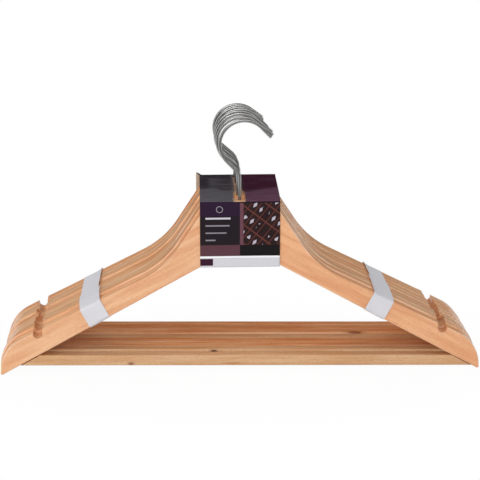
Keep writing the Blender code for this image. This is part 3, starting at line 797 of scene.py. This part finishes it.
# Shares of the print, worked out in turn: each is an operation on numbers and on what stands before it
printSteps = (
    ("awayA", "PINGPONG", "cellX", 0.5),
    ("halfY", "MULTIPLY", "cellY", 0.5),
    ("awayB", "PINGPONG", "halfY", 0.5),
    ("nearest", "MINIMUM", "awayA", "awayB"),
    ("isBar", "LESS_THAN", "nearest", lattice["line"]),
    ("barShare", "MULTIPLY", "inLattice", lattice["barShare"]),
    ("bars", "MULTIPLY", "isBar", "barShare"),
    ("fromBars", "ADD", "awayA", "awayB"),
    ("isLozenge", "GREATER_THAN", "fromBars", lattice["corner"]),
    ("isChosen", "GREATER_THAN", "cloud", lattice["chosen"]),
    ("chosenLozenge", "MULTIPLY", "isLozenge", "isChosen"),
    ("lozengeShare", "MULTIPLY", "inLattice", lattice["lozengeShare"]),
    ("lozenges", "MULTIPLY", "chosenLozenge", "lozengeShare"),
    ("warmShare", "MULTIPLY", "inLattice", lattice["warmShare"]),
    ("warm", "MULTIPLY", "cloud", "warmShare"),
    ("ring", "COMPARE", "fromRing", ringMark["radius"], ringMark["line"]),
    ("isTop", "GREATER_THAN", "v", panelHeight - 0.9),
    ("isRight", "GREATER_THAN", "u", cardWidth / 2),
    ("isTopRight", "MULTIPLY", "isTop", "isRight"),
    ("topStreaks", "MULTIPLY", "topStreak", "isTop"),
    ("paintedSheen", "MULTIPLY", "sheenLines", "inSheenField"),
    ("torn", "MULTIPLY", "strand", "byTear"),
)


def inside(tree, place, left, low, right, high, fade=0.12):
    # 1 in the oblong and 0 outside, with a fade across its rim: how far a point lies beyond the half
    # sizes, across or along, whichever is more
    middle = ((left + right) / 2, (low + high) / 2, 0)
    half = ((right - left) / 2, (high - low) / 2, 0)
    shifted = addNode(tree, "VectorMath", (place, middle), operation="SUBTRACT")
    folded = addNode(tree, "VectorMath", (shifted,), operation="ABSOLUTE")
    beyond = addNode(tree, "VectorMath", (folded, half), operation="SUBTRACT")
    x, y, _ = addNode(tree, "SeparateXYZ", (beyond,), None)
    most = addNode(tree, "Math", (x, y), operation="MAXIMUM")
    return addNode(tree, "MapRange", (most, fade, -fade))


def printValues(tree, place):
    # every share and distance that the print is drawn with, by name
    turned = {"Vector": place, "Rotation": (0, 0, lattice["turn"]), "Scale": (1 / lattice["spacing"],) * 3}
    cells = addNode(tree, "Mapping", turned)
    ends = (place, (*ringMark["middle"], 0))
    values = {
        "byTear": addNode(tree, "Attribute", output="Fac", attribute_name="torn"),
        "inLattice": inside(tree, place, *lattice["field"]),
        "inSheenField": inside(tree, place, *sheenField),
        "fromRing": addNode(tree, "VectorMath", ends, "Value", operation="DISTANCE"),
    }
    values["u"], values["v"], _ = addNode(tree, "SeparateXYZ", (place,), None)
    values["cellX"], values["cellY"], _ = addNode(tree, "SeparateXYZ", (cells,), None)
    for word, (across, along, turn, detail, low, high, most) in cardNoises.items():
        scaled = {"Vector": place, "Rotation": (0, 0, turn), "Scale": (1 / across, 1 / along, 1.0)}
        spread = addNode(tree, "Mapping", scaled)
        noise = addNode(tree, "TexNoise", {"Vector": spread, "Scale": 1.0, "Detail": detail})
        values[word] = addNode(tree, "MapRange", (noise, low, high, 0.0, most))
    for word, operation, *operands in printSteps:
        operands = [values.get(operand, operand) for operand in operands]
        values[word] = addNode(tree, "Math", operands, operation=operation)
    return values


def makeCardPrint():
    surface, tree = newMaterial("printed varnished board", ink["roughness"], gloss=ink["gloss"])
    place = addNode(tree, "Attribute", output="Vector", attribute_name="print")
    values = printValues(tree, place)
    *oblong, over = leftGround
    layers = [(inside(tree, place, *oblong), over), (values["warm"], ink["warm"])]
    layers += [(values[word], lattice[word]) for word in ("bars", "lozenges")]
    layers += [(inside(tree, place, *oblong), over) for *oblong, over in fields]
    layers.append((values["ring"], ringMark["colour"]))
    for word, (ground, reflectionColour, start, end, startDepth, endDepth) in topHalves.items():
        span = (values["u"], start, end, panelHeight + startDepth, panelHeight + endDepth)
        # painted reflection: the lighter band by the front fold, on each half of the top
        past = addNode(tree, "Math", (values["v"], addNode(tree, "MapRange", span)), operation="SUBTRACT")
        inReflection = addNode(tree, "MapRange", (past, reflectionFade, -reflectionFade, 0.0, values[word]))
        layers += [(values[word], ground), (inReflection, reflectionColour)]
    layers += [(values[word], ink[word]) for word in ("topStreaks", "paintedSheen", "torn")]
    dressSurface(tree, laidOver(tree, linear(ink["ground"]), layers), (*ink["relief"], values["grit"]))
    return surface


# The grey-brown inside of recycled board: pressed fibres about 1 mm long give a fleck
boardLook = {
    "roughness": 0.85,
    "dark": "#A3937F",
    "light": "#CABCAB",
    "patch": (1.0, 1.0, 1.0),
    "detail": 3.0,
}


def cardMesh():
    # A strip carried along a folded line seen from the end (y, z): up the front, over the top and
    # down the back. u runs across the card, v along the line
    front, back, low, high = cardLow[1], cardHigh[1], cardLow[2], cardHigh[2]
    halfBoard = arm["thickness"] / 2
    corners = [
        (front, low, 0),
        (front, frontEave, cardShape["foldRadius"]),
        (highest[1] - halfBoard, high, cardShape["topRound"]),
        (highest[1] + halfBoard, high, cardShape["topRound"]),
        (back, backEave, cardShape["foldRadius"]),
        (back, low, 0),
    ]
    line = roundedPath(corners, closed=False, straightStep=1.25, arcStep=0.3)
    travelled = lengthAlong(line)
    slotLeft = cardWidth / 2 + cardShape["slotOffCentre"] - cardShape["slotWidth"] / 2
    slotRight = slotLeft + cardShape["slotWidth"]
    leftCount, slotCount, rightCount = cardShape["columns"]
    overSlot = np.linspace(slotLeft, slotRight, slotCount)[1:-1]
    u = np.concatenate((
        np.linspace(0, slotLeft, leftCount), overSlot, np.linspace(slotRight, cardWidth, rightCount)
    ))
    firstSlot, lastSlot = leftCount - 1, leftCount + slotCount - 2
    rows, columns = len(line), len(u)
    across = np.broadcast_to(u, (rows, columns)).copy()
    depth = np.broadcast_to(line[:, :1], (rows, columns)).copy()
    height = np.broadcast_to(line[:, 1:], (rows, columns)).copy()
    v = np.broadcast_to(travelled[:, None], (rows, columns))
    isTop = (v > panelHeight - 1) & (depth < back - 0.2)
    # the top panel bows up a little between its folds, and its left corner at the back stands up
    fade = cardShape["bulgeFade"]
    rise = smoothStep(front, front + fade, depth) * smoothStep(back, back - fade, depth)
    bow = rise * np.sin(np.pi * np.clip(across / cardWidth, 0, 1))
    height += np.where(isTop, cardShape["bulge"] * bow, 0)
    begins, full = cardShape["cornerDeep"]
    stands = smoothStep(back - begins, back - full, depth) * smoothStep(*cardShape["cornerWide"], across)
    height += cardShape["corner"] * stands
    # faint standing creases in the front panel's foot, and slow waves over the whole panel
    onFront = v < panelHeight - 3
    fromCreases = across[:, :, None] - cardShape["footCreases"]
    creases = np.exp(-(fromCreases / cardShape["creaseHalfWidth"]) ** 2).sum(2)
    creases *= np.exp(-v / cardShape["creaseHeight"])
    depth -= np.where(onFront, cardShape["creaseDepth"] * creases, 0)
    waves = np.sin(across / cardShape["waveWide"] + 1) * np.sin(v / cardShape["waveHigh"])
    depth -= np.where(onFront, cardShape["waveDepth"] * waves, 0)
    # frayed slot edges: the two columns beside the slot wander, the left one more
    draw = np.random.default_rng(seedFor["fray"])
    wander = draw.uniform(-1, 1, (rows, 2)) * cardShape["fray"]
    closeFrom, closeTo = cardShape["slotClosesOver"]
    closed = smoothStep(front + closeFrom, front + closeTo, line[:, 0])
    for side, column in enumerate((firstSlot, lastSlot)):
        across[:, column] += np.where(isTop[:, column], wander[:, side], 0)
        across[:, column] += cardShape["slotCloses"][side] * closed * (1, -1)[side]
    across += cardShape["skew"] * np.clip((depth - front) / (back - front), 0, 1)
    isBack = smoothStep(travelled[-1] - panelHeight - 3, travelled[-1] - panelHeight, v)
    across -= cardShape["backWider"] * isBack * (1 - across / cardWidth)
    points = np.stack((across + cardLow[0], depth, height), -1).reshape(-1, 3)
    faces = gridFaces(rows, columns)
    faceRow, faceColumn = faces[:, 0] // columns, faces[:, 0] % columns
    inSlot = (faceColumn >= firstSlot) & (faceColumn < lastSlot)
    inSlot &= (travelled[faceRow] > panelHeight - 1.6) & (line[faceRow, 0] < cardShape["slotEnd"])
    kept, faces = np.unique(faces[~inSlot], return_inverse=True)
    mesh = newMesh("card", points[kept], faces.reshape(-1, 4))
    printed = np.stack((np.broadcast_to(u, (rows, columns)), v, v * 0), -1).reshape(-1, 3)
    setAttribute(mesh, "print", printed[kept])
    tornLine = draw.uniform(0.2, 1.0, rows)[:, None] * isTop
    beside = np.exp(-((u - slotLeft) / cardShape["tornWidth"]) ** 2) * (u <= slotLeft + 0.01)
    setAttribute(mesh, "torn", (tornLine * beside).ravel()[kept])
    return mesh


cardFinishes = [makeCardPrint(), makeClouded("bare recycled board", boardLook)]
card = addPiece(
    "card_wrap", cardMesh(), cardShape["sharp"], cardFinishes, "bundle", "printed_card", "card_sleeve"
)
wall = card.modifiers.new("board thickness", "SOLIDIFY")
wall.thickness = cardShape["thickness"] * mm
wall.offset = -1
wall.material_offset = 1
wall.material_offset_rim = 1
print("card sleeve made")

# The two bands: smooth white paper, pulled tight round the boards, the free end stuck over the start
band = {
    "width": 20.0,
    "thickness": 0.4,
    "gap": 0.35,
    "lap": 16.0,  # how far the end laps over the start
    "lapGap": 0.05,
    "lapClimbs": (4.0, 0.5),  # from and to this far before the start
    "startDepth": -30.0,  # where its start lies on top of the arms
    "skew": 2.4,  # how far the lap is off line at the uphill edge
    "cornerRound": 2.6,
    "upperEdgeLift": 1.3,  # the uphill edge curls away from the boards
    "fromMiddle": {-1: 134.2, 1: 127.7},
    "directions": 720,
    "step": 0.8,
    "pointsAcross": 13,
    "sharp": 45,
}
# Machine-glazed white paper: nearly even, with soft formation clouds a few mm across
paperLook = {
    "roughness": 0.6,
    "dark": "#D2D1D5",
    "light": "#DCDBDF",
    "patch": (4.0, 4.0, 4.0),
    "detail": 4.0,
    "relief": (1.111, 2.0, 0.15, 0.05),
}


def bandMesh(side):
    # In the plane across the arms, the band's line is the boards' hull pushed out: in each direction
    # it is the furthest corner's centre plus the corner's round. It goes once round, over the top to
    # the back and home by the front, laps its start, a thickness higher, and creeps uphill by the skew
    along = np.array((side * math.cos(grainAngle), -math.sin(grainAngle)))
    out = np.array((side * math.sin(grainAngle), math.cos(grainAngle)))
    fromMiddle = band["fromMiddle"][side]
    upper, lower = (line[0] - line[1] * fromMiddle for line in (upperLine, lowerLine))
    middle = np.array((side * fromMiddle, (upper + lower) / 2))
    station, level = middle @ along, middle @ out
    halfHigh = (upper - lower) / 2 * math.cos(grainAngle)
    corner = band["cornerRound"]
    lifts = hangerPlaces[:, [0, 2]] @ out
    halfDeep = arm["thickness"] / 2 - corner
    deep = np.concatenate((hangerPlaces[:, 1] - halfDeep, hangerPlaces[:, 1] + halfDeep) * 2)
    high = np.concatenate((lifts + halfHigh - corner,) * 2 + (lifts - halfHigh + corner,) * 2)
    turn = math.pi / 2 - np.linspace(0, 2 * np.pi, band["directions"], endpoint=False)
    way = np.stack((np.cos(turn), np.sin(turn)), 1)
    centres = np.stack((deep, high), 1)
    ring = centres[np.argmax(way @ centres.T, axis=1)] + way * (corner + band["gap"])
    ring = np.concatenate((ring, ring[:1]))
    step = lengthAlong(ring)
    girth = step[-1]
    topStart = np.argmax(way[:, 0] > 0.5)
    start = np.interp(band["startDepth"], ring[:topStart, 0], step[:topStart])
    travelled = np.arange(0, girth + band["lap"], band["step"])
    there = (travelled + start) % girth
    base = np.stack([np.interp(there, step, ring[:, k]) for k in (0, 1)], 1)
    outward = np.stack([np.interp(there, step, np.append(way[:, k], way[0, k])) for k in (0, 1)], 1)
    outward /= np.linalg.norm(outward, axis=1)[:, None]
    begins, ends = band["lapClimbs"]
    lapLift = (band["thickness"] + band["lapGap"]) * smoothStep(girth - begins, girth - ends, travelled)
    t = np.linspace(-band["width"] / 2, band["width"] / 2, band["pointsAcross"])
    # the band's upper side follows the boards' upper edge and its lower side their lower edge
    taper = (fallOf["lower"] - fallOf["upper"]) / 2 / halfHigh
    uphill = np.clip(-t / (band["width"] / 2), 0, 1) ** 3
    onTop = smoothStep(0.0, 0.6, outward[:, 1])
    skins = []
    for skin in (band["thickness"], 0.0):
        away = (lapLift + skin)[:, None] + band["upperEdgeLift"] * onTop[:, None] * uphill[None, :]
        y = base[:, :1] + outward[:, :1] * away
        h = base[:, 1:] * (1 + taper * t[None, :]) + outward[:, 1:] * away + level
        creep = band["skew"] * (0.5 - travelled / girth)[:, None]
        a = station + t[None, :] + creep * (0.5 - t / band["width"])[None, :]
        skins.append(np.stack((along[0] * a + out[0] * h, y, along[1] * a + out[1] * h), -1))
    # the left band's rings run the other way round, so that its faces look outward too
    return tubeMesh("band", np.concatenate((skins[0], skins[1][:, ::-1]), 1)[:, ::side])


paper = makeClouded("white machine-glazed paper", paperLook)
for side, word in ((-1, "left"), (1, "right")):
    mesh = bandMesh(side)
    addPiece(f"{word}_paper_band", mesh, band["sharp"], [paper], "bundle", "white_band", f"{word}_band")
print("bands made")

# Two hidden kinds of piece keep the solids' shapes. The dowels are turned beech pins, left raw: short
# brown pores in an even ground. The washers are stamped and zinc plated: satin grey, faintly clouded
dowelLook = {
    "roughness": 0.7,
    "dark": "#A87B50",
    "light": "#D9B488",
    "patch": (5.0, 0.667, 0.667),
    "detail": 3.0,
}
zincLook = {
    "roughness": 0.38,
    "metallic": 1.0,
    "dark": "#8F9296",
    "light": "#B9BCC0",
    "patch": (0.833, 0.833, 0.833),
    "detail": 3.0,
}
hiddenFinishes = {
    "bar_dowel": makeClouded("raw turned beech", dowelLook),
    "hook_washer": makeClouded("zinc-plated stamped steel", zincLook),
}
for name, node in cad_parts.items():
    for word, finish in hiddenFinishes.items():
        if word in name:
            node.data.materials.clear()
            node.data.materials.append(finish)
print("dowels and washers finished")

# Studio: a plain white sweep, large softboxes on both sides and in front, two low ones that reach in
# under the arms, one behind for the tops, and two strips that draw a bright line along the wires
studio = {
    "floorSize": 12.0,
    "floorColour": "#F0F0F0",
    # near the part a share of the floor's own shading shows, so its shadow stays; further off it is
    # white: 0.965 of that white 0.2 m away, and all of it 0.5 m away, both half as far in depth
    "floorFade": (0.2, 0.5, 0.965, 1.0),
    "floorOval": (1.0, 2.0, 1.0),
    "ambient": "#909092",
    # name, place, size, watts, and whether the wires mirror it
    "softboxes": (
        ("left softbox", (-1.5, -1.1, 1.0), (1.3, 1.3), 9.0, True),
        ("right softbox", (1.6, -0.7, 1.0), (1.2, 1.2), 2.4, True),
        ("front softbox", (-0.3, -1.9, 0.7), (1.4, 1.0), 7.8, True),
        ("low front softbox", (0.1, -1.9, 0.34), (1.3, 0.4), 4.0, False),
        ("low left softbox", (-1.6, -1.3, 0.5), (1.0, 0.5), 4.5, False),
        ("overhead strip", (-0.35, -0.35, 1.15), (1.4, 0.14), 3.0, True),
        ("right strip", (1.1, -0.2, 0.75), (0.06, 1.1), 1.8, True),
        ("back softbox", (0.0, 1.5, 0.95), (1.6, 0.7), 15.0, False),
    ),
    "aim": (0.0, 0.0, 0.09),
    # black cards that only reflections see, as in a metal studio: behind, low in front, left and right
    "flags": (
        ((-1.6, 0.9, 0.0), (1.6, 0.9, 0.0), (1.6, 0.2, 1.9), (-1.6, 0.2, 1.9)),
        ((-0.6, -0.55, 0.0), (0.6, -0.55, 0.0), (0.6, -0.55, 0.42), (-0.6, -0.55, 0.42)),
        ((-1.0, -0.6, 0.5), (-1.0, 0.0, 0.5), (-1.0, 0.0, 1.1), (-1.0, -0.6, 1.1)),
        ((1.3, -0.9, 0.4), (1.3, 0.4, 0.4), (1.3, 0.4, 1.2), (1.3, -0.9, 1.2)),
    ),
    "flagColour": "#141414",
}
view = {
    "place": (-0.0614, -1.4363, 0.5308),
    "turnRight": 2.5,  # degrees from straight ahead
    "lookDown": 16.2,
    "lens": 119.5,
    "sensor": 36.0,
}


def backgroundRays(tree):
    # 1 for the rays that see the white backdrop: the camera's, those that metal and varnish mirror, and
    # those that pass through
    rays = addNode(tree, "LightPath", output=None)
    seen = rays["Is Camera Ray"]
    for kind in ("Is Glossy Ray", "Is Transmission Ray"):
        seen = addNode(tree, "Math", (seen, rays[kind]), operation="MAXIMUM")
    return seen


def makeWorld():
    world = bpy.data.worlds.new("white studio")
    world.use_nodes = True
    tree = world.node_tree
    colour = laidOver(tree, linear(studio["ambient"]), [(backgroundRays(tree), "#FFFFFF")])
    tree.links.new(colour, tree.nodes["Background"].inputs["Color"])
    bpy.context.scene.world = world


def makeMatt(name, hexColour):
    surface, tree = newMaterial(name, 0.9, gloss=0.0)
    tree.nodes["Principled BSDF"].inputs["Base Color"].default_value = linear(hexColour)
    return surface


def addSheet(name, corners, surface):
    # a flat sheet of the studio's own
    mesh = bpy.data.meshes.new(name)
    mesh.from_pydata(corners, [], [(0, 1, 2, 3)])
    mesh.materials.append(surface)
    sheet = addObject(name, mesh)
    return sheet


def makeFloor():
    surface = makeMatt("matt white sweep", studio["floorColour"])
    tree = surface.node_tree
    place = addNode(tree, "TexCoord", output="Object")
    oval = addNode(tree, "VectorMath", (place, studio["floorOval"]), operation="MULTIPLY")
    away = addNode(tree, "VectorMath", (oval,), "Value", operation="LENGTH")
    plain = addNode(tree, "MapRange", (away, *studio["floorFade"]), interpolation_type="SMOOTHSTEP")
    share = addNode(tree, "Math", (plain, backgroundRays(tree)), operation="MULTIPLY")
    shaded = tree.nodes["Principled BSDF"].outputs[0]
    white = addNode(tree, "Emission", {"Strength": 1.0})
    blend = addNode(tree, "MixShader", (share, shaded, white))
    tree.links.new(blend, tree.nodes["Material Output"].inputs["Surface"])
    half = studio["floorSize"] / 2
    corners = [(-half, -half, 0), (half, -half, 0), (half, half, 0), (-half, half, 0)]
    addSheet("studio_floor", corners, surface)


def addSoftbox(name, place, size, watts, mirrored):
    lamp = bpy.data.lights.new(name, "AREA")
    lamp.shape = "RECTANGLE"
    lamp.size, lamp.size_y = size
    lamp.energy = watts
    softbox = addObject(name, lamp)
    softbox.location = place
    softbox.rotation_euler = (Vector(studio["aim"]) - Vector(place)).to_track_quat("-Z", "Y").to_euler()
    softbox.visible_glossy = mirrored


def addCamera():
    lens = bpy.data.cameras.new("photo camera")
    lens.lens = view["lens"]
    lens.sensor_width = view["sensor"]
    camera = addObject("photo camera", lens)
    camera.location = view["place"]
    camera.rotation_euler = (math.radians(90 - view["lookDown"]), 0, -math.radians(view["turnRight"]))
    bpy.context.scene.camera = camera


makeWorld()
makeFloor()
flagCloth = makeMatt("black flag cloth", studio["flagColour"])
for corners in studio["flags"]:
    flag = addSheet("black_flag", corners, flagCloth)
    flag.visible_camera = flag.visible_diffuse = flag.visible_shadow = flag.visible_transmission = False
for softbox in studio["softboxes"]:
    addSoftbox(*softbox)
addCamera()
bpy.context.scene.view_settings.view_transform = "Standard"
print("studio set up")
